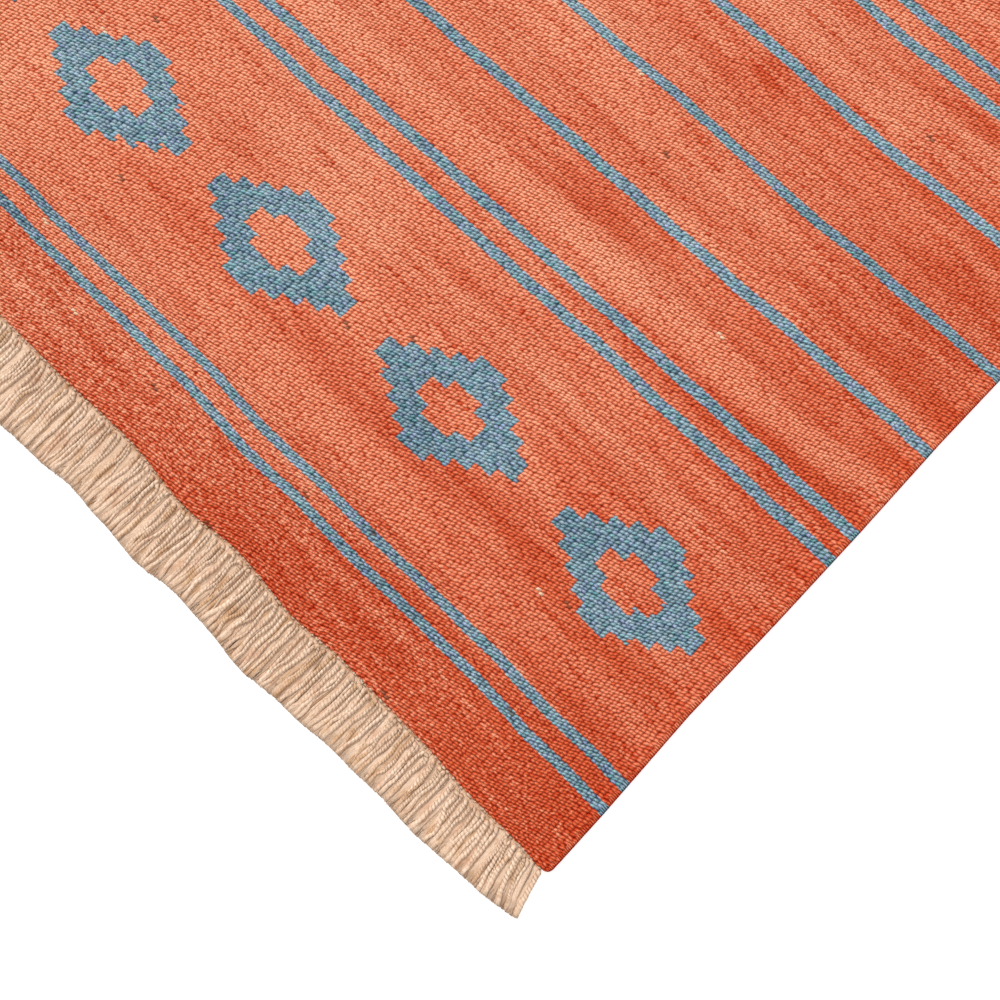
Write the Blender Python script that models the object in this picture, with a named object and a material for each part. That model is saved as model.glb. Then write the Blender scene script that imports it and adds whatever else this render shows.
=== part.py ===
"""A flat-woven kilim rug that lies flat: one woven ground, and a comb of warp ends at each end.

Metres, +Z up. X runs across the warps from selvedge to selvedge and Y along the warps from the near
fringe to the far one. The origin is under the middle of the rug, on the face that it lies on.
"""

import math
from collections import namedtuple

import bmesh
import bpy
from mathutils import Vector

# The woven ground
GROUND_WIDTH = 1.200
GROUND_LENGTH = 1.800
CLOTH_THICKNESS = 0.0030
CORNER_RADIUS = 0.0045
CORNER_SEGMENTS = 5
SELVEDGE_STATIONS = 90
END_STATIONS = 200

# How far each end of the weave stands outside its straight line, at places across the rug
EndRow = namedtuple("EndRow", "across near_out far_out")
END_ROWS = (
    EndRow(-0.600, 0.0010, 0.0012),
    EndRow(-0.545, -0.0008, -0.0012),
    EndRow(-0.480, 0.0012, 0.0006),
    EndRow(-0.415, -0.0008, -0.0014),
    EndRow(-0.360, 0.0006, 0.0012),
    EndRow(-0.290, -0.0016, 0.0002),
    EndRow(-0.220, 0.0014, -0.0012),
    EndRow(-0.150, 0.0000, 0.0016),
    EndRow(-0.085, -0.0012, -0.0006),
    EndRow(-0.020, 0.0010, 0.0008),
    EndRow(0.050, -0.0014, -0.0016),
    EndRow(0.120, 0.0012, 0.0004),
    EndRow(0.185, 0.0004, 0.0014),
    EndRow(0.250, -0.0020, -0.0010),
    EndRow(0.302, 0.0023, 0.0010),
    EndRow(0.346, -0.0018, -0.0002),
    EndRow(0.396, 0.0019, 0.0014),
    EndRow(0.434, -0.0010, -0.0012),
    EndRow(0.500, -0.0009, 0.0010),
    EndRow(0.540, 0.0009, -0.0008),
    EndRow(0.575, 0.0003, 0.0004),
    EndRow(0.600, 0.0016, 0.0010),
)

# How far each selvedge stands outside its straight line, at places along the warps
SelvedgeRow = namedtuple("SelvedgeRow", "along right_out left_out")
SELVEDGE_ROWS = (
    SelvedgeRow(-0.900, 0.0021, 0.0012),
    SelvedgeRow(-0.885, 0.0032, 0.0020),
    SelvedgeRow(-0.865, 0.0029, 0.0016),
    SelvedgeRow(-0.835, 0.0015, 0.0005),
    SelvedgeRow(-0.800, 0.0002, -0.0004),
    SelvedgeRow(-0.760, -0.0005, -0.0010),
    SelvedgeRow(-0.710, 0.0002, -0.0002),
    SelvedgeRow(-0.660, -0.0001, 0.0006),
    SelvedgeRow(-0.610, -0.0006, 0.0012),
    SelvedgeRow(-0.550, -0.0020, 0.0010),
    SelvedgeRow(-0.480, -0.0017, -0.0002),
    SelvedgeRow(-0.380, -0.0008, -0.0010),
    SelvedgeRow(-0.150, 0.0010, -0.0018),
    SelvedgeRow(0.100, -0.0009, 0.0009),
    SelvedgeRow(0.350, 0.0012, 0.0014),
    SelvedgeRow(0.600, -0.0014, -0.0011),
    SelvedgeRow(0.780, 0.0004, 0.0006),
    SelvedgeRow(0.880, 0.0028, 0.0030),
    SelvedgeRow(0.900, 0.0018, 0.0021),
)

# The fringe. A lock is the warps that lie together as one tooth of the comb
WARP_PITCH = 0.003
WARPS_PER_LOCK = 4
FRINGE_GAP = 0.0003
FRINGE_INSET = 0.003
LENGTH_RIPPLE = 0.0006
SWAY = 0.0006

# How long the fringe is past the end of the weave, and how far its tips lean towards +X
FringeRow = namedtuple("FringeRow", "across near_length near_lean far_length far_lean")
FRINGE_ROWS = (
    FringeRow(-0.591, 0.0300, -0.0120, 0.0290, -0.0130),
    FringeRow(-0.579, 0.0345, -0.0050, 0.0335, -0.0060),
    FringeRow(-0.550, 0.0370, -0.0020, 0.0365, -0.0010),
    FringeRow(-0.470, 0.0400, 0.0010, 0.0405, 0.0000),
    FringeRow(-0.350, 0.0420, 0.0020, 0.0440, -0.0020),
    FringeRow(-0.120, 0.0440, -0.0020, 0.0410, 0.0020),
    FringeRow(0.180, 0.0460, 0.0020, 0.0420, -0.0010),
    FringeRow(0.300, 0.0424, 0.0000, 0.0440, 0.0010),
    FringeRow(0.420, 0.0420, -0.0010, 0.0430, 0.0020),
    FringeRow(0.500, 0.0380, 0.0000, 0.0400, 0.0010),
    FringeRow(0.550, 0.0360, 0.0010, 0.0370, 0.0000),
    FringeRow(0.579, 0.0325, 0.0060, 0.0340, 0.0070),
    FringeRow(0.591, 0.0290, 0.0130, 0.0300, 0.0120),
)

# A lock's sections from the weave to its tip: the first two bound the header that joins the locks
LockRow = namedtuple("LockRow", "length_share lean_share gap thickness")
LOCK_ROWS = (
    LockRow(0.00, 0.00, 0.0008, 0.0030),
    LockRow(0.10, 0.00, 0.0008, 0.0030),
    LockRow(0.55, 0.40, 0.0015, 0.0024),
    LockRow(1.00, 1.00, 0.0022, 0.0018),
)

# Finishes: colour and roughness
CORAL_WOOL = ((0.62, 0.11, 0.045, 1.0), 0.95)
CREAM_COTTON = ((0.76, 0.60, 0.43, 1.0), 0.92)


def clear_scene():
    for thing in list(bpy.data.objects):
        bpy.data.objects.remove(thing, do_unlink=True)


def finish(name, colour, roughness):
    material = bpy.data.materials.new(name)
    material.use_nodes = True
    shader = material.node_tree.nodes["Principled BSDF"]
    shader.inputs["Base Color"].default_value = colour
    shader.inputs["Roughness"].default_value = roughness
    shader.inputs["Metallic"].default_value = 0.0
    return material


def eased(rows, place, column, at):
    """The value of a column at a place between the rows, eased from row to row."""
    if at <= getattr(rows[0], place):
        return getattr(rows[0], column)
    for low, high in zip(rows, rows[1:]):
        if at <= getattr(high, place):
            share = (at - getattr(low, place)) / (getattr(high, place) - getattr(low, place))
            share = share * share * (3.0 - 2.0 * share)
            return getattr(low, column) * (1.0 - share) + getattr(high, column) * share
    return getattr(rows[-1], column)


def end_y(side, x):
    """Where the weave ends at a place across the rug. side is -1 for the near end, 1 for the far."""
    column = "near_out" if side < 0 else "far_out"
    return side * (GROUND_LENGTH / 2 + eased(END_ROWS, "across", column, x))


def selvedge_x(side, y):
    """Where the selvedge is at a place along the rug. side is -1 for the left one, 1 for the right."""
    column = "left_out" if side < 0 else "right_out"
    return side * (GROUND_WIDTH / 2 + eased(SELVEDGE_ROWS, "along", column, y))


def corner(side_x, side_y):
    """A corner before it is rounded."""
    return selvedge_x(side_x, side_y * GROUND_LENGTH / 2), end_y(side_y, side_x * GROUND_WIDTH / 2)


def ground_outline():
    """The uneven outline seen from above, anticlockwise from the near left corner."""
    across = [GROUND_WIDTH * (i / END_STATIONS - 0.5) for i in range(1, END_STATIONS)]
    along = [GROUND_LENGTH * (i / SELVEDGE_STATIONS - 0.5) for i in range(1, SELVEDGE_STATIONS)]
    return (
        [corner(-1, -1)]
        + [(x, end_y(-1, x)) for x in across]
        + [corner(1, -1)]
        + [(selvedge_x(1, y), y) for y in along]
        + [corner(1, 1)]
        + [(x, end_y(1, x)) for x in reversed(across)]
        + [corner(-1, 1)]
        + [(selvedge_x(-1, y), y) for y in reversed(along)]
    )


def is_corner_edge(edge):
    foot, head = edge.verts
    upright = abs(foot.co.z - head.co.z) > CLOTH_THICKNESS / 2
    places = [Vector(corner(side_x, side_y)) for side_x in (-1, 1) for side_y in (-1, 1)]
    return upright and min((foot.co.xy - place).length for place in places) < FRINGE_GAP


def woven_ground():
    """One slab of cloth with its upright corner edges rounded."""
    bm = bmesh.new()
    base = bm.faces.new([bm.verts.new((x, y, 0.0)) for x, y in ground_outline()])
    raised = bmesh.ops.extrude_face_region(bm, geom=[base])["geom"]
    bmesh.ops.translate(
        bm,
        verts=[part for part in raised if isinstance(part, bmesh.types.BMVert)],
        vec=(0.0, 0.0, CLOTH_THICKNESS),
    )
    bmesh.ops.bevel(
        bm,
        geom=[edge for edge in bm.edges if is_corner_edge(edge)],
        offset=CORNER_RADIUS,
        segments=CORNER_SEGMENTS,
        profile=0.5,
        affect="EDGES",
    )
    return bm


def section(bm, side, across, width, past, thickness):
    """The corners of a lock's section: foot left, foot right, top left, top right."""
    edges = [across - width / 2, across + width / 2]
    feet = [(x, end_y(side, x) + side * (FRINGE_GAP + past)) for x in edges]
    return [bm.verts.new((x, y, z)) for z in (0.0, thickness) for x, y in feet]


def lock(bm, side, number, across, pitch):
    """The sections of one lock of warp ends, from the weave to its tip."""
    end = "near" if side < 0 else "far"
    length = eased(FRINGE_ROWS, "across", end + "_length", across)
    lean = eased(FRINGE_ROWS, "across", end + "_lean", across)
    length += LENGTH_RIPPLE * math.sin(1.7 * number + side)
    sway = SWAY * math.sin(2.3 * number + 2.0 * side)
    return [
        section(
            bm,
            side,
            across + lean * row.lean_share + sway * math.sin(math.pi * row.length_share),
            pitch - row.gap,
            length * row.length_share,
            row.thickness,
        )
        for row in LOCK_ROWS
    ]


def fringe_comb(side):
    """The warp ends at one end of the rug: a header along the weave and a tooth for each lock."""
    bm = bmesh.new()
    span = GROUND_WIDTH - 2 * FRINGE_INSET
    count = round(span / (WARP_PITCH * WARPS_PER_LOCK))
    pitch = span / count
    locks = [lock(bm, side, i, pitch * (i + 0.5) - span / 2, pitch) for i in range(count)]
    for sections in locks:
        for inner, outer in zip(sections, sections[1:]):
            bm.faces.new((inner[0], inner[1], outer[1], outer[0]))
            bm.faces.new((inner[2], outer[2], outer[3], inner[3]))
        for inner, outer in zip(sections[1:], sections[2:]):
            bm.faces.new((inner[0], outer[0], outer[2], inner[2]))
            bm.faces.new((inner[1], inner[3], outer[3], outer[1]))
        root, tip = sections[0], sections[-1]
        bm.faces.new((root[0], root[2], root[3], root[1]))
        bm.faces.new((tip[0], tip[1], tip[3], tip[2]))
    for one, after in zip(locks, locks[1:]):  # the header between two locks
        bm.faces.new((one[0][1], after[0][0], after[1][0], one[1][1]))
        bm.faces.new((one[0][3], one[1][3], after[1][2], after[0][2]))
        bm.faces.new((one[0][1], one[0][3], after[0][2], after[0][0]))
        bm.faces.new((one[1][1], after[1][0], after[1][2], one[1][3]))
    for (inner, outer), (foot, top) in ((locks[0][:2], (0, 2)), (locks[-1][:2], (1, 3))):
        bm.faces.new((inner[foot], outer[foot], outer[top], inner[top]))
    return bm


def add_piece(name, bm, material):
    bmesh.ops.recalc_face_normals(bm, faces=bm.faces)
    bmesh.ops.triangulate(bm, faces=bm.faces)
    mesh = bpy.data.meshes.new(name)
    bm.to_mesh(mesh)
    bm.free()
    mesh.materials.append(material)
    piece = bpy.data.objects.new(name, mesh)
    bpy.context.scene.collection.objects.link(piece)
    return piece


def centre_on_origin(pieces):
    """Moves all the pieces together, so that their box is centred on the Z axis."""
    places = [vertex.co for piece in pieces for vertex in piece.data.vertices]
    for axis in (0, 1):
        middle = (min(p[axis] for p in places) + max(p[axis] for p in places)) / 2
        for place in places:
            place[axis] -= middle


def main():
    clear_scene()
    wool = finish("coral_wool", *CORAL_WOOL)
    cotton = finish("cream_cotton", *CREAM_COTTON)
    centre_on_origin(
        [
            add_piece("woven_ground", woven_ground(), wool),
            add_piece("near_fringe", fringe_comb(-1), cotton),
            add_piece("far_fringe", fringe_comb(1), cotton),
        ]
    )


main()
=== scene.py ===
"""Looks of a flat-woven kilim rug: its ribbed wool ground, its cotton fringes and a plain studio."""

import math

import bpy
import numpy as np
from bpy.props import FloatProperty, FloatVectorProperty, IntProperty, PointerProperty
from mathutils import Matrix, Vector


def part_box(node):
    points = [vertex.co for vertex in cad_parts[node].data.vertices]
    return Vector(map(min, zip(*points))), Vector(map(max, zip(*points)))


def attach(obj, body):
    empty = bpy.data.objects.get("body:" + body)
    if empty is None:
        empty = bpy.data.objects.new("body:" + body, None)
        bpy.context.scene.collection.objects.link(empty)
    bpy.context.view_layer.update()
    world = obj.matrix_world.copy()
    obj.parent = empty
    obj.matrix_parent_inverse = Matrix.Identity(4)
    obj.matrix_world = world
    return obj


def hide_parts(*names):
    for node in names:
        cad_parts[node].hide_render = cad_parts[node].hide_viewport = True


bl_info = {
    "name": "Kilim Rug",
    "version": (1, 0, 0),
    "blender": (4, 5, 0),
    "location": "View3D > Sidebar > Kilim",
    "description": "Weaves a kilim rug with its fringes and lays it out in a plain studio",
    "category": "Object",
}

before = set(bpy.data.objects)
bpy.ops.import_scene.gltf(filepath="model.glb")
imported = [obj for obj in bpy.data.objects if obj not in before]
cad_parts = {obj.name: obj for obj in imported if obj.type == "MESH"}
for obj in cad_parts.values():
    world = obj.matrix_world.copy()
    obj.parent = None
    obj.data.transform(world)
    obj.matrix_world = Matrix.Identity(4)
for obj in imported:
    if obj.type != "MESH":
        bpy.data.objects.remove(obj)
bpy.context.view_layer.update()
GROUND_NODE = "woven_ground"
FRINGE_NODES = {"near": "near_fringe", "far": "far_fringe"}
MM = 0.001


# Settings


def length(name, about, default, low=0.0):
    return FloatProperty(
        name=name, description=about, default=default, min=low, unit="LENGTH", precision=5
    )


def colour(name, about, default):
    return FloatVectorProperty(
        name=name, description=about, default=default, subtype="COLOR", size=3, min=0.0, max=1.0
    )


class WeaveSizes(bpy.types.PropertyGroup):
    width: length("Width", "Woven width from selvedge to selvedge", 1.200)
    length: length("Length", "Woven length from fringe to fringe", 1.800)
    warp_pitch: length("Warp pitch", "Mean pitch of the warp ribs", 0.00292)
    pick_pitch: length("Pick pitch", "From one weft pick to the next", 0.00112)
    edge_warps: IntProperty(
        name="Selvedge warps", description="Thicker warps at each selvedge", default=3, min=1
    )
    edge_rise: length("Selvedge rise", "How far the outer ribs stand above the field", 0.0003)
    dense_picks: IntProperty(
        name="Dense picks", description="Picks at each end that are beaten closer", default=70, min=0
    )
    rib_depth: length("Rib depth", "From the crest of a rib to the furrow beside it", 0.0005)
    corner_radius: length("Corner radius", "Radius of the rounded corners", 0.0045)
    end_reach: length("End reach", "How far the waver of an end reaches into the weave", 0.060)
    scallop: length("Scallop", "How far each rib's end stands out past its furrows", 0.0005)
    waver: length("Waver", "How far a pick wanders from its straight line", 0.0070)
    unevenness: length("Unevenness", "Slow rise and fall of the cloth", 0.0002)


class PatternSizes(bpy.types.PropertyGroup):
    stripe_width: length("Stripe width", "Width of a thin blue stripe", 0.0075)
    lozenge_pitch: length("Lozenge pitch", "From one lozenge to the next", 0.150)
    step_width: length("Step width", "Width of a lozenge's step", 0.012)
    step_height: length("Step height", "Height of a lozenge's step", 0.0072)
    steps: IntProperty(name="Steps", description="Steps from middle to tip", default=5, min=1)
    heart_steps: IntProperty(
        name="Heart steps", description="Steps of the lozenge's coral heart", default=2, min=0
    )


class FringeSizes(bpy.types.PropertyGroup):
    inset: length("Inset", "From the selvedge to the outermost warp end", 0.0065)
    tuck: length("Tuck", "How far a matted end starts inside the weave", 0.0010)
    clear: length("Clearance", "How far a plied end starts outside the weave", 0.0022)
    mat_pitch: length("Mat pitch", "From one matted lower end to the next", 0.0020)
    mat_width: length("Mat half-width", "Half-width of a matted lower end", 0.0027)
    mat_height: length("Mat half-height", "Half-height of a matted lower end", 0.00050)
    cord_pitch: length("Cord pitch", "From one plied upper end to the next", 0.0034)
    cord_radius: length("Cord radius", "Radius of a plied upper end", 0.00130)
    head_radius: length("Head radius", "Radius of a plied end's bent head", 0.00155)
    ply_turn: length("Ply turn", "Length of one full turn of the two plies", 0.0046)
    bundle_pitch: length("Bundle pitch", "From one bundle of tips to the next", 0.0120)
    stray_pitch: length("Stray pitch", "From one stray single yarn to the next", 0.0085)
    stray_radius: length("Stray radius", "Radius of a stray single yarn", 0.00050)
    knob_pitch: length("Knob pitch", "From one bight of warp beside the weave to the next", 0.0040)
    knob_radius: length("Knob radius", "Radius of such a bight", 0.00075)
    drift: length("Drift", "How far neighbouring ends sway together", 0.0008)
    waver: length("Waver", "How far each end sways by itself", 0.0006)
    kink: length("Kink", "How far each end is crimped from side to side", 0.0002)
    sweep: length("Sweep", "How far each end first bends to the right", 0.0018)
    frays: IntProperty(
        name="Frays", description="Short loose fibres at the tips of a fringe", default=600, min=0
    )


class Colours(bpy.types.PropertyGroup):
    coral_deep: colour("Deep coral", "Shaded hollows of the coral wool", (0.58, 0.028, 0.001))
    coral: colour("Coral", "Wool of the ground", (0.73, 0.166, 0.077))
    coral_pale: colour("Pale coral", "Lit crests of the coral wool", (1.00, 0.430, 0.262))
    strong_dye: colour("Strong dye", "What the strongest dye lots do to the coral", (0.75, 0.38, 0.27))
    blue_deep: colour("Deep blue", "Shaded hollows of the blue wool", (0.045, 0.085, 0.115))
    blue: colour("Blue", "Dusty blue wool", (0.188, 0.272, 0.310))
    blue_pale: colour("Pale blue", "Lit crests of the blue wool", (0.41, 0.52, 0.565))
    teal: colour("Teal", "Tinge of some blue grains", (0.30, 0.62, 0.55))
    lilac: colour("Lilac", "Tinge of other blue grains", (0.60, 0.50, 0.80))
    dark_speck: colour("Dark speck", "Odd grains of dark wool", (0.10, 0.04, 0.02))
    pale_speck: colour("Pale speck", "Odd grains of pale wool", (0.90, 0.66, 0.45))
    cotton_deep: colour("Deep cotton", "Shaded hollows of the warp ends", (0.33, 0.130, 0.058))
    cotton: colour("Cotton", "Cream cotton of the warp ends", (0.655, 0.458, 0.320))
    cotton_pale: colour("Pale cotton", "Lit crests of the warp ends", (0.96, 0.735, 0.580))
    # painted shade: the next colour darkens and warms the matted lower ends, which lie beneath the plied
    # ones
    mat_shade: colour("Mat tinge", "Painted shade and a warmer tone on the matted lower ends beneath the plied ones", (0.86, 0.83, 0.80))
    rose_tinge: colour("Rose tinge", "What bled dye does to some ends", (0.82, 0.70, 0.62))
    ochre_tinge: colour("Ochre tinge", "What age does to other ends", (0.83, 0.71, 0.57))


class StageSizes(bpy.types.PropertyGroup):
    azimuth: FloatProperty(name="Azimuth", default=44.64, description="Camera's side, in degrees")
    elevation: FloatProperty(name="Elevation", default=78.63, description="Camera's height, in degrees")
    distance: length("Distance", "From the camera to its target", 0.674)
    lens: FloatProperty(name="Lens", default=41.0, description="Focal length in mm")
    target_in: length("Target from selvedge", "Target's distance from the right selvedge", 0.1652)
    target_up: length("Target from end", "Target's distance from the near end", 0.1326)
    floor_size: length("Floor size", "Side of the floor", 40.0)


SETTINGS = {
    "kilim_weave": WeaveSizes,
    "kilim_pattern": PatternSizes,
    "kilim_fringe": FringeSizes,
    "kilim_colours": Colours,
    "kilim_stage": StageSizes,
}

# How wide a warp rib is, as a share of the mean pitch, by its distance in mm from the nearest selvedge
RIB_SPACING = (
    (0, 1.10), (9, 1.10), (11, 0.84), (40, 0.86), (88, 0.98), (148, 1.05), (210, 0.97), (270, 0.97),
    (330, 1.07), (390, 1.02), (450, 0.95), (510, 1.07), (600, 1.00),
)
# How strong the dye of the coral wool is, by its distance in mm from the nearest end of the weave
DYE_LOTS = (
    (0, 0.66), (45, 0.64), (60, 0.48), (92, 0.26), (112, 0.44), (150, 0.26), (184, 0.46), (208, 0.20),
    (228, 0.42), (248, 0.26), (270, 0.50), (284, 0.14), (304, 0.50), (330, 0.28), (352, 0.44),
    (376, 0.24), (386, 0.46), (412, 0.30), (448, 0.50), (466, 0.58), (496, 0.10), (522, 0.48),
    (560, 0.24), (600, 0.40), (640, 0.24), (700, 0.46), (760, 0.26), (830, 0.44), (900, 0.34),
)
# Thin stripes and rows of lozenges, by how far they are from the nearest end of the weave
STRIPES = [mm * MM for mm in (42, 62, 242, 262, 330, 398, 466, 534, 554, 734, 754, 822, 900)]
LOZENGE_ROWS = [mm * MM for mm in (152, 644)]
# How far the grains of the weave are from an even bricklike order: 0 is even, and 1 has no order
BRICK_JITTER = 0.32
# How far in from a selvedge the coral wool grows paler, in warps
PALER_REACH = 220.0
# How far in from an end of the weave its thickness is rounded, and how far its scallops are felt
END_ROUNDING = 1.5 * MM
SCALLOP_REACH = 2.5 * MM
# How much of each rib's half falls away to the furrow beside it
FURROW_SHARE = 0.66
FRAY_RADIUS = 0.24 * MM


# The outline of the rug, read from the frame


def node_points(node):
    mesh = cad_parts[node].data
    places = np.empty(len(mesh.vertices) * 3, np.float32)
    mesh.vertices.foreach_get("co", places)
    return places.reshape(-1, 3).astype(float)


def sorted_line(points, along, value):
    """The points as a line: two arrays, sorted by one of their axes."""
    order = np.argsort(points[:, along])
    return points[order, along], points[order, value]


class Outline:
    """The uneven edges of the woven ground, as offsets from its straight lines."""

    def __init__(self, sizes):
        self.half_width, self.half_length = sizes.width / 2, sizes.length / 2
        self.radius, self.reach = sizes.corner_radius, sizes.end_reach
        points = node_points(GROUND_NODE)
        inner_x = np.abs(points[:, 0]) < self.half_width - self.radius * 1.5
        inner_y = np.abs(points[:, 1]) < self.half_length - self.radius * 1.5
        self.selvedges = [
            sorted_line(points[inner_y & (points[:, 0] * side > 0)], 1, 0) for side in (-1, 1)
        ]
        self.ends = [
            sorted_line(points[inner_x & (points[:, 1] * side > 0)], 0, 1) for side in (-1, 1)
        ]

    def lay(self, across, along):
        """Moves places of a straight weave to where they lie: bowed, wavering, corners rounded."""
        left, right = [np.interp(along, *line) for line in self.selvedges]
        near, far = [np.interp(across, *line) for line in self.ends]
        bow = np.where(across < 0, -left, right) - self.half_width
        waver = np.where(along < 0, -near, far) - self.half_length
        fade = np.exp(-(self.half_length - np.abs(along)) / self.reach)
        x = across + across / self.half_width * bow
        y = along + np.sign(along) * waver * fade
        over_x = np.clip(np.abs(across) - self.half_width + self.radius, 0, self.radius)
        over_y = np.clip(np.abs(along) - self.half_length + self.radius, 0, self.radius)
        x -= np.sign(across) * over_x * (1 - np.sqrt(1 - (over_y / self.radius) ** 2 / 2))
        y -= np.sign(along) * over_y * (1 - np.sqrt(1 - (over_x / self.radius) ** 2 / 2))
        return x, y


def warp_edges(sizes):
    """Where each warp rib begins, and where the last one ends, across the weave from its middle."""
    distances, shares = zip(*RIB_SPACING)
    half = [0.0]
    while half[-1] < sizes.width / 2:
        half.append(half[-1] + sizes.warp_pitch * np.interp(half[-1] / MM, distances, shares))
    half = np.array(half) / half[-1] * sizes.width / 2
    return np.concatenate([half - sizes.width / 2, sizes.width / 2 - half[-2::-1]])


# Meshes


def new_piece(name, points, faces, material, values, maps):
    """A smooth mesh object with numbers for its points and UV maps for its faces' corners."""
    mesh = bpy.data.meshes.new(name)
    mesh.from_pydata(points.tolist(), [], faces)
    for key, numbers in values.items():
        layer = mesh.attributes.new(key, "FLOAT", "POINT")
        layer.data.foreach_set("value", numbers.astype(np.float32))
    for key, places in maps.items():
        layer = mesh.uv_layers.new(name=key)
        layer.data.foreach_set("uv", places.astype(np.float32).ravel())
    mesh.materials.append(material)
    mesh.shade_smooth()
    piece = bpy.data.objects.new(name, mesh)
    bpy.context.scene.collection.objects.link(piece)
    return piece


def slow_noise(x, y, seed, waves=7, finest=0.24):
    """A soft unevenness between about -1 and 1. finest is the length of its shortest waves."""
    rng = np.random.default_rng(seed)
    reach = math.tau / finest
    total = np.zeros(np.broadcast(x, y).shape)
    for _ in range(waves):
        turn_x, turn_y = rng.uniform(-reach, reach, 2)
        total += np.sin(turn_x * x + turn_y * y + rng.uniform(0.0, math.tau))
    return total / math.sqrt(2.0 * waves)


# Materials


class Wire:
    """A value in a material's node tree, which can be worked with as a number."""

    def __init__(self, tree, socket):
        self.tree, self.socket = tree, socket

    def math(self, operation, *others):
        node = self.tree.nodes.new("ShaderNodeMath")
        node.operation = operation
        for number, value in enumerate((self, *others)):
            connect(self.tree, value, node.inputs[number])
        return Wire(self.tree, node.outputs[0])

    def __add__(self, other):
        return self.math("ADD", other)

    def __sub__(self, other):
        return self.math("SUBTRACT", other)

    def __rsub__(self, other):
        return (self * -1.0) + other

    def __mul__(self, other):
        return self.math("MULTIPLY", other)

    def __truediv__(self, other):
        return self.math("DIVIDE", other)

    __radd__, __rmul__ = __add__, __mul__

    def __pow__(self, other):
        return self.math("POWER", other)

    def floor(self):
        return self.math("FLOOR")

    def fraction(self):
        return self.math("FRACT")

    def size(self):
        return self.math("ABSOLUTE")

    def sine(self):
        return self.math("SINE")

    def under(self, limit):
        return self.math("LESS_THAN", limit)

    def near(self, other, reach):
        return self.math("COMPARE", other, reach)

    def most(self, other):
        return self.math("MAXIMUM", other)

    def least(self, other):
        return self.math("MINIMUM", other)

    def ramp(self, low, high):
        """0 below low and 1 above high, eased in between."""
        node = self.tree.nodes.new("ShaderNodeMapRange")
        node.interpolation_type = "SMOOTHSTEP"
        for number, value in enumerate((self, low, high)):
            connect(self.tree, value, node.inputs[number])
        return Wire(self.tree, node.outputs[0])


def connect(tree, value, socket):
    if isinstance(value, Wire):
        tree.links.new(value.socket, socket)
    else:
        socket.default_value = value


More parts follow.
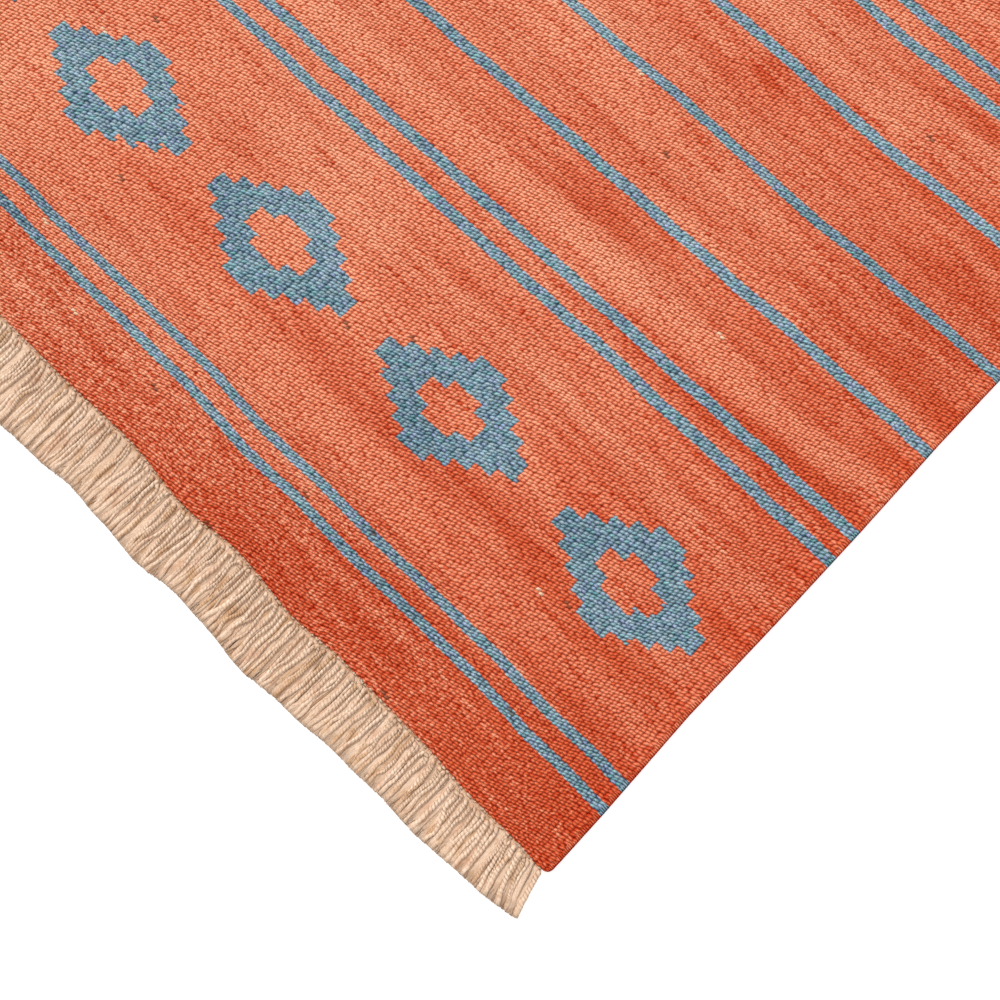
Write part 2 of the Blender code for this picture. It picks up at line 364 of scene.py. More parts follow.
class Finish:
    """A new material with a Principled shader, and the nodes that feed it."""

    def __init__(self, name, roughness, sheen, specular):
        self.material = bpy.data.materials.new(name)
        self.material.use_nodes = True
        self.tree = self.material.node_tree
        self.shader = self.tree.nodes["Principled BSDF"]
        for socket, value in (
            ("Roughness", roughness),
            ("Sheen Weight", sheen),
            ("Sheen Roughness", 0.5),
            ("Specular IOR Level", specular),
        ):
            self.shader.inputs[socket].default_value = value

    def node(self, kind, **settings):
        node = self.tree.nodes.new("ShaderNode" + kind)
        for key, value in settings.items():
            setattr(node, key, value)
        return node

    def uv(self, map_name):
        parts = self.node("SeparateXYZ")
        source = self.node("UVMap", uv_map=map_name)
        self.tree.links.new(source.outputs[0], parts.inputs[0])
        return Wire(self.tree, parts.outputs[0]), Wire(self.tree, parts.outputs[1])

    def seen_from_above(self):
        parts = self.node("SeparateXYZ")
        self.tree.links.new(self.node("TexCoord").outputs["Object"], parts.inputs[0])
        return Wire(self.tree, parts.outputs[0]), Wire(self.tree, parts.outputs[1])

    def attribute(self, name):
        return Wire(self.tree, self.node("Attribute", attribute_name=name).outputs["Fac"])

    def place(self, x, y, z=0.0):
        node = self.node("CombineXYZ")
        for value, socket in zip((x, y, z), node.inputs):
            connect(self.tree, value, socket)
        return Wire(self.tree, node.outputs[0])

    def noise(self, x, y, layer=0.0, detail=2.0, roughness=0.5):
        """Soft noise around 0, mostly within a half, that changes about once each unit or layer."""
        node = self.node("TexNoise")
        connect(self.tree, self.place(x, y, layer), node.inputs["Vector"])
        node.inputs["Scale"].default_value = 1.0
        node.inputs["Detail"].default_value = detail
        node.inputs["Roughness"].default_value = roughness
        return Wire(self.tree, node.outputs["Fac"]) - 0.5

    def chance(self, x, y, layer=0.0):
        """An even chance between 0 and 1 for each whole place in a layer."""
        node = self.node("TexWhiteNoise")
        connect(self.tree, self.place(x, y, layer), node.inputs["Vector"])
        return Wire(self.tree, node.outputs["Value"])

    def cells(self, x, y, jitter):
        """Irregular cells, about one for each whole place: their middles, and three chances each."""
        node = self.node("TexVoronoi", voronoi_dimensions="2D")
        place = self.place(x - 0.5 + jitter / 2, y - 0.5 + jitter / 2)
        connect(self.tree, place, node.inputs["Vector"])
        node.inputs["Scale"].default_value = 1.0
        node.inputs["Randomness"].default_value = jitter
        middle, own = self.node("SeparateXYZ"), self.node("SeparateColor")
        self.tree.links.new(node.outputs["Position"], middle.inputs[0])
        self.tree.links.new(node.outputs["Color"], own.inputs[0])
        middle = [Wire(self.tree, middle.outputs[number]) + (0.5 - jitter / 2) for number in (0, 1)]
        return middle, [Wire(self.tree, out) for out in own.outputs]

    def shades(self, value, colours):
        """A colour between the given ones, which are evenly spaced from 0 to 1."""
        node = self.node("ValToRGB")
        stops = node.color_ramp.elements
        while len(stops) < len(colours):
            stops.new(0.5)
        for number, given in enumerate(colours):
            stops[number].position = number / (len(colours) - 1)
            stops[number].color = (*given, 1.0)
        connect(self.tree, value, node.inputs[0])
        return Wire(self.tree, node.outputs[0])

    def levels(self, place, rows):
        """A number that passes softly through the rows' levels, which are given by their places."""
        node = self.node("ValToRGB")
        ramp, reach = node.color_ramp, rows[-1][0]
        ramp.interpolation = "EASE"
        for at, _ in rows[1:-1]:
            ramp.elements.new(at / reach)
        for stop, (_, level) in zip(ramp.elements, rows):
            stop.color = (level, level, level, 1.0)
        connect(self.tree, place / reach, node.inputs[0])
        return Wire(self.tree, node.outputs[0])

    def mix(self, amount, first, second, blend="MIX"):
        node = self.node("Mix", data_type="RGBA", blend_type=blend)
        for value, number in ((amount, 0), (first, 6), (second, 7)):
            connect(self.tree, value, node.inputs[number])
        return Wire(self.tree, node.outputs[2])

    def bump(self, height, distance):
        node = self.node("Bump")
        node.inputs["Strength"].default_value = 1.0
        node.inputs["Distance"].default_value = distance
        connect(self.tree, height, node.inputs["Height"])
        self.tree.links.new(node.outputs[0], self.shader.inputs["Normal"])

    def paint(self, value):
        connect(self.tree, value, self.shader.inputs["Base Color"])

    def glow(self, strength):
        self.shader.inputs["Emission Color"].default_value = (1.0, 1.0, 1.0, 1.0)
        self.shader.inputs["Emission Strength"].default_value = strength


def blue_weft(across, from_end, pattern):
    """1 where the weft is blue: thin stripes, and rows of stepped lozenges with a coral heart."""
    blue = None
    for at in STRIPES:
        stripe = from_end.near(at, pattern.stripe_width / 2)
        blue = stripe if blue is None else blue.most(stripe)
    from_middle = ((across / pattern.lozenge_pitch).fraction() - 0.5).size()
    from_row = None
    for at in LOZENGE_ROWS:
        apart = (from_end - at).size()
        from_row = apart if from_row is None else from_row.least(apart)
    step = (from_middle * (pattern.lozenge_pitch / pattern.step_width)).floor()
    step = step + (from_row / pattern.step_height).floor()
    lozenge = step.under(pattern.steps - 0.5) - step.under(pattern.heart_steps - 0.5)
    return blue.most(lozenge)


def beaten_picks(finish, warp, pick, sizes):
    """The pick at each place. Picks wander, sag and jog, and those at the ends are beaten closer."""
    last = sizes.length / sizes.pick_pitch
    dense = pick.least(sizes.dense_picks) + pick.most(last - sizes.dense_picks) - last
    wander = finish.noise(warp / 32.0, pick / 260.0, 3.0, detail=1.0) * (sizes.waver / sizes.pick_pitch)
    sag = finish.noise(warp / 160.0, pick / 45.0, 9.0, detail=0.0) * 7.0
    jog = finish.noise(warp / 7.0, pick / 30.0, 7.0) * 1.8
    return pick + dense * 0.2 + wander + sag + jog


def grains(finish, warp, beaten):
    """Plump grains set like bricks: how plump a place is, its grain's rib and row, and three chances."""
    course = (beaten - warp) * 0.5
    (rib, grain), chances = finish.cells(warp, course, BRICK_JITTER)
    off_rib = warp - rib
    off_grain = course - grain + off_rib * (chances[2] - 0.35) * 0.6
    plump = 1.0 - off_rib * off_rib * 2.3 - off_grain * off_grain * 2.9
    return plump, rib, grain * 2.0 + rib, chances


def turned_picks(finish, plump, beaten, from_edge):
    """How plump a place is, with each pick shown by itself at the selvedges, where it turns back."""
    turn = beaten * 0.72
    number = turn.floor()
    turned = 1.0 - (from_edge + (finish.chance(number, 8.0) - 0.5) * 0.8).ramp(0.5, 1.1)
    dash = 1.0 - ((turn.fraction() - 0.5) * 2.0).size() ** 2.0
    dash = dash + (finish.chance(number, 9.0) - 0.5) * 0.5
    return plump + (dash - plump) * turned


def coral_dye(finish, rib, row, chance, from_end, from_edge):
    """How strongly each grain is dyed, and the streaks and the odd threads in that."""
    wander = finish.noise(rib / 60.0, row / 60.0, 1.0) * 26.0
    lot = finish.levels(from_end / MM + wander, DYE_LOTS) + 0.20 - from_edge.ramp(0.0, PALER_REACH) * 0.50
    band = finish.noise(rib / 120.0, row / 30.0, 4.0, detail=1.0)
    band = band + finish.noise(rib / 38.0, row / 9.0, 5.0)
    streak = finish.noise(rib / 13.0, row / 2.4, 15.0, detail=2.0)
    busy = finish.noise(rib / 70.0, row / 24.0, 8.0).ramp(-0.05, 0.20)
    brim = 1.0 - from_edge.ramp(0.0, 70.0)
    thread = finish.noise(rib / 20.0, row / 2.6, 25.0, detail=1.0) + busy * 0.05 + brim * 0.06
    thread = thread.ramp(0.15, 0.26)
    dye = lot * 1.3 - 0.18 + band * 1.4 + streak * (1.2 + busy) + thread * 0.7 + (chance - 0.5) * 0.14
    return dye + brim * 0.10, streak, thread


def coral_wool(finish, lit, dye, colours):
    """The coral yarn, from its shaded hollows to its lit crests."""
    coral = finish.shades(lit, (colours.coral_deep, colours.coral, colours.coral_pale))
    tint = finish.shades(dye, ((1.0, 1.0, 1.0), colours.strong_dye))
    return finish.mix(1.0, coral, tint, "MULTIPLY")


def blue_wool(finish, lit, amount, hue, colours):
    """The blue yarn, with a tinge of teal or lilac in its grains."""
    slate = finish.shades(lit, (colours.blue_deep, colours.blue, colours.blue_pale))
    return finish.mix(amount * 0.9, slate, finish.shades(hue, (colours.teal, colours.lilac)), "SOFT_LIGHT")


def specks(finish, yarn, rib, row, ragged, colours):
    """The yarn with odd grains of other wool, most of them dark ones near the ends of the weave."""
    speck = finish.chance((rib * 0.5).floor(), (row * 0.5).floor(), 3.0)
    yarn = finish.mix(speck.under(ragged * 0.0022 + 0.0003) * 0.7, yarn, (*colours.dark_speck, 1.0))
    return finish.mix(speck.ramp(0.9994, 0.9995) * 0.7, yarn, (*colours.pale_speck, 1.0))


def wool_finish(sizes, pattern, colours):
    """Weft-faced wool: plump grains set like bricks on the warp ribs, in streaky dye lots."""
    finish = Finish("kilim_wool", roughness=0.95, sheen=0.0, specular=0.03)
    warp, pick = finish.uv("weave")
    last_warp = len(warp_edges(sizes)) - 1
    from_edge = warp.least(warp * -1.0 + last_warp)
    beaten = beaten_picks(finish, warp, pick, sizes)
    plump, rib, row, (own, other, third) = grains(finish, warp, beaten)
    plump = turned_picks(finish, plump, beaten, from_edge)
    fibre = finish.noise(warp * 2.8, pick * 1.4, detail=3.0, roughness=0.7)
    pack = finish.noise(warp * 0.8, beaten * 0.45, 2.0, detail=1.0)
    fleck = finish.noise(warp * 0.8, beaten * 0.36, 6.0, detail=2.0, roughness=0.7)
    finish.bump(plump + fibre * 0.45 + own * 0.25 + pack * 0.5 + fleck * 0.4, distance=0.0014)

    along = (beaten + (row - beaten) * 0.25) * sizes.pick_pitch
    from_end = sizes.length / 2 - (along - sizes.length / 2).size()
    ragged = 1.0 - from_end.ramp(0.030, 0.095)
    # painted shade: the outermost half warp of each selvedge is painted darker, unevenly along the picks,
    # where the rounded edge turns from the light
    painted_edge_shade = (1.0 - from_edge.ramp(0.0, 0.42)) * (1.0 + finish.noise(beaten * 0.14, 4.0) * 4.0)
    wear = finish.noise(rib / 45.0, row / 80.0, 12.0, detail=1.0)
    dye, streak, thread = coral_dye(finish, rib, row, other, from_end, from_edge)
    shade = (own - 0.5) * 0.16 + pack * 0.28 + fibre * 0.50 - painted_edge_shade * 0.9 - thread * 0.12
    shade = shade + ragged * fleck * 1.1 + wear * 0.35
    shade = shade + from_edge.ramp(0.0, PALER_REACH) * 0.04 + from_end.ramp(0.0, 0.35) * 0.05
    lit = plump * 0.52 + 0.31 + shade
    # painted light and shade of the blue grains: crests painted lighter, hollows between them darker
    blue_lit = lit * 1.15 - 0.23 + (own - 0.5) * 0.15 + fibre * 0.50 - streak * 0.4
    coral = coral_wool(finish, lit, dye - ragged * fleck * 2.4, colours)
    slate = blue_wool(finish, blue_lit, other, third, colours)
    blue = blue_weft(rib * sizes.warp_pitch, from_end, pattern)
    yarn = finish.mix(blue, coral, slate)
    finish.paint(specks(finish, yarn, rib, row, ragged, colours))
    return finish.material


def shaded_and_stained(finish, cream, tint, upper, colours):
    """The cotton with painted shade and a warmer tone on its lower ends, and stains of bled dye and of
    age.
    """
    x, y = finish.seen_from_above()
    stain = finish.noise(x / 0.007, y / 0.018, 5.0, detail=2.0) * 1.3 + (tint - 0.5) * 0.34
    for amount, tinge in (
        # painted shade with a warmer tone on the ends that lie low, beneath the plied ones
        ((1.0 - upper) * 0.9, colours.mat_shade),
        (stain.ramp(0.04, 0.34), colours.rose_tinge),
        (stain.ramp(-0.04, -0.34), colours.ochre_tinge),
    ):
        cream = finish.mix(amount, cream, (*tinge, 1.0), "MULTIPLY")
    return cream


def cotton_finish(sizes, colours):
    """Two-ply cream cotton: ridges wind round each end, and the trimmed tips are loose and pale."""
    finish = Finish("warp_cotton", roughness=0.95, sheen=0.08, specular=0.1)
    around, run = finish.uv("strand")
    tint, loose, upper = [finish.attribute(name) for name in ("tint", "loose", "upper")]
    slack = finish.noise(run / 0.008, tint * 50.0) * 0.8
    turn = around + run / (sizes.ply_turn * (tint * 0.5 + 0.75)) + slack
    ply = (turn * math.tau).sine().size() ** 0.7
    twist = upper * (1.0 - loose.ramp(0.5, 1.0) * 0.6)
    side = around * (30.0 - upper * 22.0)
    fibre = finish.noise(side, run / 0.0028, tint * 40.0, detail=3.0, roughness=0.65)
    finish.bump(ply * twist + fibre * 0.9, distance=0.0006)

    # painted shadow on the ends close to the weave's edge, lighter on the plied ends, whose heads stand
    # clear of it
    root = 1.0 - loose.ramp(0.02, 0.10)
    # painted shade on the sides of each end, where it lies against its neighbours
    painted_flank_shade = ((around - 0.25).size() * 4.0) ** 3.0
    lit = 0.662 - twist * (1.0 - ply) * 0.27 + fibre * (1.15 - upper * 0.25)
    lit = lit + (tint - 0.5) * 0.22 - painted_flank_shade * 0.11
    lit = lit - root * (0.45 - upper * 0.35) - loose.ramp(0.6, 1.0) * 0.05
    cream = finish.shades(lit, (colours.cotton_deep, colours.cotton, colours.cotton_pale))
    finish.paint(shaded_and_stained(finish, cream, tint, upper, colours))
    return finish.material


# Pieces


def ground_columns(edges):
    """Where the grid's columns are: each as its place across and its warp number."""
    last = len(edges) - 1
    inner = [warp + part for warp in range(last) for part in (1 / 3, 2 / 3, 1.0)][:-1]
    numbers = np.array([0.0, 0.06, 0.18, *inner, last - 0.18, last - 0.06, float(last)])
    return np.interp(numbers, np.arange(last + 1), edges), numbers


def ground_rows(sizes):
    """Where the grid's rows are along the weave: close together at its ends."""
    from_end = np.array([0.0, 0.3, 0.9, 2.0, 4.0, 7.0, 11.0]) * MM
    inner_count, inner_start = 24, 0.045
    inner = np.linspace(-1, 1, inner_count) * (sizes.length / 2 - inner_start)
    ends = sizes.length / 2 - from_end
    return np.concatenate([-ends, inner, ends[::-1]])


def quads(index):
    """The corners of the faces of a grid whose points are numbered in index."""
    corners = [index[:-1, :-1], index[:-1, 1:], index[1:, 1:], index[1:, :-1]]
    return np.stack(corners, axis=-1).reshape(-1, 4)


def sheet_faces(rows, columns):
    """Both sides' faces of a closed sheet: by their points, and by their places in the flat grid."""
    grid = np.arange(rows * columns).reshape(rows, columns)
    under = grid.copy()
    inner = np.arange((rows - 2) * (columns - 2)).reshape(rows - 2, columns - 2)
    under[1:-1, 1:-1] = inner + rows * columns
    top_faces = quads(grid)
    faces = np.concatenate([top_faces, quads(under)[:, ::-1]])
    return faces, np.concatenate([top_faces, top_faces[:, ::-1]])


def one_square(places, faces):
    """Both sides' places in one square: the top side in most of it, and the under side below that."""
    half = len(faces) // 2
    sheet = places[faces]
    sheet[:, :, 0] = 0.002 + sheet[:, :, 0] * 0.996
    for side, start, share in ((slice(half), 0.102, 0.896), (slice(half, None), 0.002, 0.094)):
        sheet[side, :, 1] = start + sheet[side, :, 1] * share
    return sheet


def crest(warp):
    """1 over the middle of a warp, and 0 between two warps."""
    return 1.0 - np.abs(warp % 1.0 - 0.5) * 2.0


def scallops(sizes, warp, along, from_edge, from_end):
    """How far along the weave the ends of the ribs stand out past their furrows."""
    fade = np.exp(-from_end / SCALLOP_REACH) * (from_edge > 1.0)
    own = np.random.default_rng(3).uniform(0.4, 1.6, int(warp.max()) + 1)[warp.astype(int)]
    return np.sign(along) * sizes.scallop * (own * np.minimum(crest(warp) * 1.5, 1.0) - 0.6) * fade


def woven_ground(sizes, outline, material):
    """One closed sheet with a rib over every warp on both faces, and round selvedges and ends."""
    columns, numbers = ground_columns(warp_edges(sizes))
    rows = ground_rows(sizes)
    across, _ = np.meshgrid(columns, rows)
    warp, along = np.meshgrid(numbers, rows)
    from_edge = np.minimum(warp, numbers[-1] - warp)
    from_end = sizes.length / 2 - np.abs(along)
    x, y = outline.lay(across, along)
    y = y + scallops(sizes, warp, along, from_edge, from_end)

    low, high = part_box(GROUND_NODE)
    half_thick = (high.z - low.z) / 2
    furrow = (1.0 - np.clip(crest(warp) / FURROW_SHARE, 0.0, 1.0)) * sizes.rib_depth
    rise = sizes.edge_rise * np.clip(1.5 - from_edge / sizes.edge_warps, 0.0, 1.0)
    half = half_thick - furrow + rise
    # the selvedges and the ends are rounded
    for gone, reach in ((from_edge, 0.5), (from_end, END_ROUNDING)):
        half = half * np.sqrt(1.0 - (1.0 - np.clip(gone / reach, 0.0, 1.0)) ** 2)
    middle = half_thick + rise + sizes.unevenness * (1.0 + slow_noise(x, y, seed=5))
    top = np.stack([x, y, middle + half], axis=-1)
    under = np.stack([x, y, np.maximum(middle - half, 0.0)], axis=-1)
    points = np.concatenate([top.reshape(-1, 3), under[1:-1, 1:-1].reshape(-1, 3)])

    faces, flat_faces = sheet_faces(*x.shape)
    weave = np.stack([warp, (along + sizes.length / 2) / sizes.pick_pitch], axis=-1).reshape(-1, 2)
    shares = np.stack([across / sizes.width + 0.5, along / sizes.length + 0.5], axis=-1).reshape(-1, 2)
    maps = {"weave": weave[flat_faces], "OFBake": one_square(shares, flat_faces)}
    return new_piece("kilim_ground", points, faces.tolist(), material, {}, maps)


class Strands:
    """Gathers thin tubes, so that they can become one mesh."""

    def __init__(self):
        self.points, self.faces, self.maps = [], [], []
        self.values = {"tint": [], "loose": [], "upper": []}
        self.count = 0

    def add(self, path, wide, high, sides, **values):
        """A tube along path, with its half-width and half-height at each place, closed at both ends."""
        path = np.asarray(path, float)
        rings = len(path)
        ahead = np.gradient(path, axis=0)
        sideways = np.cross(ahead, (0.0, 0.0, 1.0))
        sideways /= np.linalg.norm(sideways, axis=1, keepdims=True)
        upward = np.cross(sideways, ahead)
        upward /= np.linalg.norm(upward, axis=1, keepdims=True)
        turn = np.arange(sides) / sides
        wide, high = [np.broadcast_to(size, rings)[:, None, None] for size in (wide, high)]
        ring = path[:, None] + sideways[:, None] * np.cos(turn * math.tau)[:, None] * wide
        ring = ring + upward[:, None] * np.sin(turn * math.tau)[:, None] * high
        points = np.concatenate([ring.reshape(-1, 3), path[:1], path[-1:]])
        points[:, 2] = np.maximum(points[:, 2], 0.0)
        run = np.concatenate([[0.0], np.cumsum(np.linalg.norm(np.diff(path, axis=0), axis=1))])
        around = np.tile(np.abs(turn - 0.5), rings)
        places = np.stack([around, np.repeat(run, sides)], axis=-1)
        self.maps.append(np.concatenate([places, [[0.0, run[0]], [0.0, run[-1]]]]))
        for key, value in values.items():
            value = np.repeat(np.broadcast_to(value, rings), sides)
            self.values[key].append(np.concatenate([value, [value[0], value[-1]]]))
        index = self.count + np.arange(rings * sides).reshape(rings, sides)
        after = np.roll(index, -1, axis=1)
        walls = np.stack([index[:-1], after[:-1], after[1:], index[1:]], axis=-1)
        self.faces += walls.reshape(-1, 4).tolist()
        first = self.count + rings * sides
        self.faces += [[first, b, a] for a, b in zip(index[0].tolist(), after[0].tolist())]
        self.faces += [[first + 1, a, b] for a, b in zip(index[-1].tolist(), after[-1].tolist())]
        self.points.append(points)
        self.count += len(points)

    def piece(self, name, material):
        corners = np.array([corner for face in self.faces for corner in face])
        values = {key: np.concatenate(parts) for key, parts in self.values.items()}
        maps = {"strand": np.concatenate(self.maps)[corners]}
        return new_piece(name, np.concatenate(self.points), self.faces, material, values, maps)


class Trim:
    """Where the warp ends of a fringe are cut off, read from the tips of the frame's comb."""

    def __init__(self, node, side):
        # over the floor, the comb is lowest at the tips of its teeth and highest at their roots
        points = node_points(node)
        tops = points[:, 2].round(4)
        tips = np.unique(points[tops == np.unique(tops)[1]].round(5), axis=0)
        tips = tips.reshape(-1, 2, 3).mean(axis=1)
        roots = points[tops == tops.max(), 0]
        self.side = side
        self.tips_x, self.tips_y = tips[:, 0], tips[:, 1]
        self.roots_x = np.linspace(roots.min(), roots.max(), len(tips) * 2 + 1)[1::2]

    def tip(self, root_x, lean, short):
        """A warp end's tip: lean moves it sideways, and short is how far it stops short of the line."""
        x = root_x + np.interp(root_x, self.roots_x, self.tips_x - self.roots_x) + lean
        x = np.clip(x, self.tips_x.min() - MM, self.tips_x.max() + MM)
        return x, np.interp(x, self.tips_x, self.tips_y) - self.side * short


class Fringe:
    """The warp ends at one end of the rug."""

    def __init__(self, end, side, sizes, cords, outline, seed):
        self.side, self.sizes, self.cords = side, sizes, cords
        self.rng = np.random.default_rng(seed)
        self.trim = Trim(FRINGE_NODES[end], side)
        self.seed = seed
        self.outline = outline
        self.strands = Strands()

    def root(self, across):
        """Where warps leave the weave."""
        return self.outline.lay(across, np.full(np.shape(across), self.side * self.sizes.length / 2))

    def spread(self, pitch, inset=0.0):
        """Places across the weave whose warp ends come out a pitch apart at their tips."""
        half = self.sizes.width / 2 - self.cords.inset - inset
        across = np.linspace(-half, half, 900)
        tips, _ = self.trim.tip(self.root(across)[0], 0.0, 0.0)
        count = round((tips[-1] - tips[0]) / pitch)
        return np.interp(np.linspace(tips[0], tips[-1], count), tips, across)

    def path(self, across, lean, short, out, stops, heights, sway=1.0):
        """A warp end's path: stops are shares of its length, and heights are at those stops."""
        root_x, root_y = self.root(across)
        tip_x, tip_y = self.trim.tip(root_x, lean, short)
        t = np.asarray(stops)
        root_y = root_y + self.side * out
        y = root_y + (tip_y - root_y) * t
        x = root_x + (tip_x - root_x) * t**1.4 + self.cords.sweep * (1.0 - np.exp(-t * 6.0)) * (1.0 - t)
        ease = np.clip(t * 3.0, 0.0, 1.0)
        x = x + sway * self.cords.drift * slow_noise(x, y, self.seed, waves=9, finest=0.022) * ease
        reach, waves = self.rng.normal(), self.rng.uniform(3.0, 12.0)
        swing = reach * np.sin(t * waves + self.rng.uniform(0.0, math.tau))
        x = x + sway * self.cords.waver * swing * ease + self.rng.normal(0, self.cords.kink, len(t))
        return np.stack([x, y, np.asarray(heights) * MM], axis=-1)

    def mat(self):
        """The lower ends, matted flat, which together cover the floor."""
        stops = np.array([0.0, 0.1, 0.25, 0.45, 0.7, 1.0])
        wide = np.interp(stops, [0, 0.6, 1], [1.1, 1.1, 1.0]) * self.cords.mat_width
        high = np.interp(stops, [0, 0.15, 0.8, 1], [1.6, 1.2, 1.0, 0.7]) * self.cords.mat_height
        for across in self.spread(self.cords.mat_pitch, self.cords.mat_width * 0.4):
            heights = np.interp(stops, [0, 0.2, 1], [1.3, 0.9, 0.7]) + self.rng.uniform(-0.25, 0.25)
            short, broad = self.rng.uniform(0.0002, 0.0005), self.rng.uniform(0.75, 1.1)
            lean = self.rng.normal(0, 0.0008)
            path = self.path(across, lean, short, -self.cords.tuck, stops, heights, sway=0.5)
            self.strands.add(
                path, wide * broad, np.minimum(high, path[:, 2]), 6,
                tint=self.rng.uniform(), loose=stops, upper=0.0,
            )

    def strays(self):
        """Single yarns that wander across the others."""
        stops = np.linspace(0.0, 1.0, 8)
        for across in self.spread(self.cords.stray_pitch):
            heights = np.interp(stops, [0, 0.2, 1], [1.4, 1.6, 1.0]) + self.rng.uniform(-0.5, 0.4)
            lean, short = self.rng.normal(0, 0.0040), self.rng.uniform(0.0, 0.0010)
            path = self.path(across, lean, short, self.cords.clear, stops, heights, sway=1.6)
            size = self.cords.stray_radius * self.rng.uniform(0.6, 1.3)
            self.strands.add(
                path, size, size, 5,
                tint=self.rng.uniform(), loose=stops, upper=self.rng.uniform(),
            )

    def cord(self, across, hook, lean, lift):
        """One plied end. Its head starts hooked to one side, and its tip leans towards its bundle."""
        # places along the end, in mm, closest together at its head
        run = np.array([0.0, 0.8, 1.8, 3.2, 5.5, 8.5, 12.0, 16.0, 20.0, 24.5, 29.0, 33.5, 38.0, 42.0])
        stops = run / run[-1]
        heights = np.interp(run, [0, 0.8, 1.8, 3.2, 7, 30, 42], [1.1, 1.8, 2.2, 2.0, 1.7, 1.4, 1.0])
        head = self.cords.head_radius / self.cords.cord_radius
        size = np.interp(run, [0, 0.8, 1.8, 3.2, 42], [0.7, head, head, 1.0, 1.0])
        size = size * self.cords.cord_radius * self.rng.uniform(0.7, 1.15)
        size = size * self.rng.uniform(0.88, 1.12, len(run))
        heights = heights + lift * np.clip(run / 5.0, 0.0, 1.0)
        short = self.rng.uniform(0.0003, 0.0009)
        out = self.cords.clear + self.rng.uniform(-0.0008, 0.0008)
        path = self.path(across, lean, short, out, stops, heights)
        path[:, 0] += hook * np.exp(-((run / 2.4) ** 2))
        # near its tip an end opens out and lies flatter
        melt = np.clip((stops - self.rng.uniform(0.35, 1.0)) * 2.5, 0.0, 1.0)
        self.strands.add(
            path, size * (1.0 + melt * 0.5), size * (1.0 - melt * 0.5), 6,
            tint=self.rng.uniform(), loose=stops, upper=self.rng.uniform(0.7, 1.0) * (1.0 - melt * 0.5),
        )

    def plied(self):
        """The upper ends. The heads of some pairs meet, and the tips draw together in bundles."""
        places = self.spread(self.cords.cord_pitch)
        places = places + self.rng.uniform(-0.45, 0.45, len(places)) * self.cords.cord_pitch
        bundles = self.spread(self.cords.bundle_pitch)
        bundles = bundles + self.rng.uniform(-0.3, 0.3, len(bundles)) * self.cords.bundle_pitch
        for pair in places[: len(places) // 2 * 2].reshape(-1, 2):
            meet = self.rng.choice([0.0, 0.9], p=[0.65, 0.35])
            for across in pair:
                hook = (pair.mean() - across) * meet + self.rng.normal(0, 0.0007)
                gather = bundles[np.argmin(np.abs(bundles - across))] - across
                lean = gather * self.rng.uniform(0.0, 0.7) + self.rng.normal(0, 0.0012)
                self.cord(across, hook, lean, self.rng.uniform(-0.3, 0.3))

    def knobs(self):
        """Bights of warp that stand out between the weave and the plied ends."""
        for across in self.spread(self.cords.knob_pitch):
            x, y = self.root(across + self.rng.normal(0, 0.0010))
            along = self.rng.uniform(0.4, 1.2) * MM * np.array([-1.0, -0.4, 0.4, 1.0])
            out = self.side * MM * (np.array([0.1, 0.6, 0.6, 0.0]) + self.rng.normal(0, 0.25, 4))
            high = MM * (np.array([1.6, 2.4, 2.4, 1.6]) + self.rng.uniform(-0.4, 0.2))
            size = self.cords.knob_radius * self.rng.uniform(0.6, 1.2) * np.array([0.6, 1.0, 1.0, 0.6])
            self.strands.add(
                np.stack([x + along, y + out, high], axis=-1), size, size, 6,
                tint=self.rng.uniform(0.0, 0.7), loose=0.3, upper=self.rng.uniform(0.0, 0.8),
            )

    def frays(self):
        """Short loose fibres at the trimmed tips."""
        half = self.sizes.width / 2 - self.cords.inset
        for _ in range(self.cords.frays):
            x, y = self.trim.tip(self.rng.uniform(-half, half), 0.0, 0.0)
            back, on = self.rng.uniform(0.002, 0.008), self.rng.uniform(-0.0006, 0.0006)
            start = np.array([x, y - self.side * back, self.rng.uniform(0.5, 2.0) * MM])
            aside, high = self.rng.normal(0, 0.0010), self.rng.uniform(0.3, 1.4) * MM
            end = np.array([x + aside, y + self.side * on, high])
            middle = (start + end) / 2 + (self.rng.normal(0, 0.0005), 0.0, 0.0)
            size = FRAY_RADIUS * self.rng.uniform(0.6, 1.4)
            self.strands.add(
                [start, middle, end], size * np.array([0.9, 1.0, 0.4]), size, 3,
                tint=self.rng.uniform(), loose=1.0, upper=self.rng.uniform(),
            )

    def piece(self, name, material):
        self.mat()
        self.strays()
        self.plied()
        self.knobs()
        self.frays()
        return self.strands.piece(name, material)


# The stage


def aim(thing, target):
    thing.rotation_mode = "QUATERNION"
    thing.rotation_quaternion = (Vector(target) - thing.location).to_track_quat("-Z", "Y")


def add_camera(stage, sizes):
    azimuth, elevation = math.radians(stage.azimuth), math.radians(stage.elevation)
    out = math.cos(elevation)
    back = Vector((math.sin(azimuth) * out, -math.cos(azimuth) * out, math.sin(elevation)))
    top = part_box(GROUND_NODE)[1].z
    target = Vector((sizes.width / 2 - stage.target_in, stage.target_up - sizes.length / 2, top))
    data = bpy.data.cameras.new("camera")
    data.lens, data.sensor_width = stage.lens, 36.0
    data.clip_start, data.clip_end = 0.01, 50.0
    camera = bpy.data.objects.new("camera", data)
    camera.location = target + back * stage.distance
    aim(camera, target)
    bpy.context.scene.collection.objects.link(camera)
    bpy.context.scene.camera = camera


def add_light(name, place, size, power):
    """A square soft light that shines on the rug."""
    data = bpy.data.lights.new(name, "AREA")
    data.shape, data.size = "SQUARE", size
    data.energy = power
    light = bpy.data.objects.new(name, data)
    light.location = place
    aim(light, (0.0, 0.0, 0.0))
    bpy.context.scene.collection.objects.link(light)


# Operators


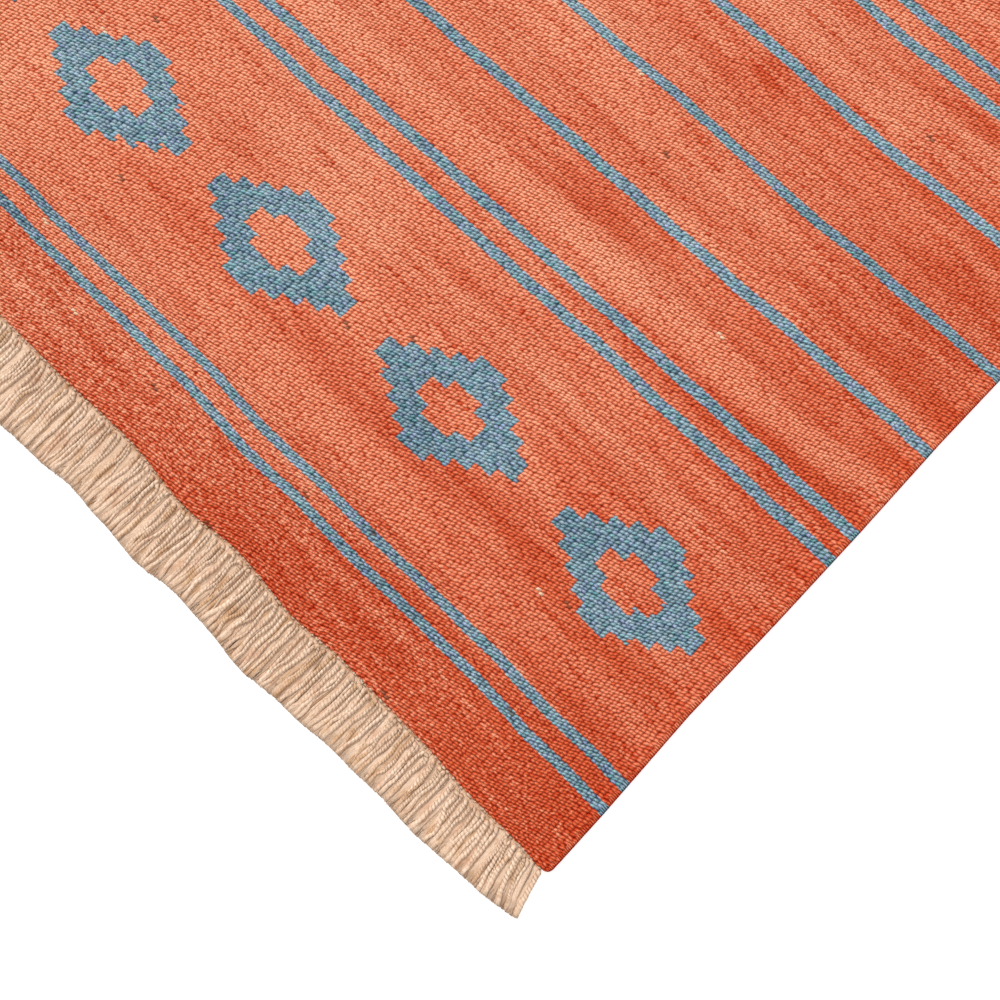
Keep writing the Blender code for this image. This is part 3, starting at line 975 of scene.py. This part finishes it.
class KILIM_OT_weave_ground(bpy.types.Operator):
    """Weave the ribbed wool ground with its stripes and lozenges"""

    bl_idname = "kilim.weave_ground"
    bl_label = "Weave the Ground"

    def execute(self, context):
        scene = context.scene
        sizes = scene.kilim_weave
        material = wool_finish(sizes, scene.kilim_pattern, scene.kilim_colours)
        ground = woven_ground(sizes, Outline(sizes), material)
        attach(ground, "root")
        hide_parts(GROUND_NODE)
        return {"FINISHED"}


class KILIM_OT_lay_fringes(bpy.types.Operator):
    """Lay out the cotton warp ends at both ends of the weave"""

    bl_idname = "kilim.lay_fringes"
    bl_label = "Lay the Fringes"

    def execute(self, context):
        scene = context.scene
        sizes, cords = scene.kilim_weave, scene.kilim_fringe
        material = cotton_finish(cords, scene.kilim_colours)
        for end, side, seed in (("near", -1, 11), ("far", 1, 12)):
            fringe = Fringe(end, side, sizes, cords, Outline(sizes), seed)
            piece = fringe.piece(end + "_warp_ends", material)
            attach(piece, "root")
            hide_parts(FRINGE_NODES[end])
        return {"FINISHED"}


class KILIM_OT_set_stage(bpy.types.Operator):
    """Set up the pale floor, the soft lights and the camera"""

    bl_idname = "kilim.set_stage"
    bl_label = "Set the Stage"

    def execute(self, context):
        scene = context.scene
        stage = scene.kilim_stage
        bpy.ops.object.select_all(action="DESELECT")
        bpy.ops.mesh.primitive_plane_add(size=stage.floor_size)
        floor = context.object
        floor.name = "floor"
        paper = Finish("studio_paper", roughness=0.9, sheen=0.0, specular=0.1)
        paper.paint((0.93, 0.93, 0.93, 1.0))
        paper.glow(0.35)
        floor.data.materials.append(paper.material)
        add_light("key", place=(-11.7, 6.3, 11.2), size=4.8, power=3280.0)
        add_light("fill", place=(1.8, -1.6, 3.4), size=3.0, power=40.0)
        world = bpy.data.worlds.new("studio")
        world.use_nodes = True
        background = world.node_tree.nodes["Background"]
        background.inputs["Color"].default_value = (1.0, 1.0, 1.0, 1.0)
        background.inputs["Strength"].default_value = 0.62
        scene.world = world
        scene.view_settings.view_transform = "Standard"
        add_camera(stage, scene.kilim_weave)
        return {"FINISHED"}


class KILIM_PT_sidebar(bpy.types.Panel):
    """The steps that make the rug"""

    bl_idname = "KILIM_PT_sidebar"
    bl_label = "Kilim Rug"
    bl_space_type = "VIEW_3D"
    bl_region_type = "UI"
    bl_category = "Kilim"

    def draw(self, context):
        for operator in OPERATORS:
            self.layout.operator(operator.bl_idname)


OPERATORS = (KILIM_OT_weave_ground, KILIM_OT_lay_fringes, KILIM_OT_set_stage)
CLASSES = (*SETTINGS.values(), *OPERATORS, KILIM_PT_sidebar)


def register():
    for one in CLASSES:
        bpy.utils.register_class(one)
    for name, group in SETTINGS.items():
        setattr(bpy.types.Scene, name, PointerProperty(type=group))


def unregister():
    for name in SETTINGS:
        delattr(bpy.types.Scene, name)
    for one in reversed(CLASSES):
        bpy.utils.unregister_class(one)


def main():
    register()
    bpy.ops.kilim.weave_ground()
    bpy.ops.kilim.lay_fringes()
    bpy.ops.kilim.set_stage()


if __name__ == "__main__":
    main()
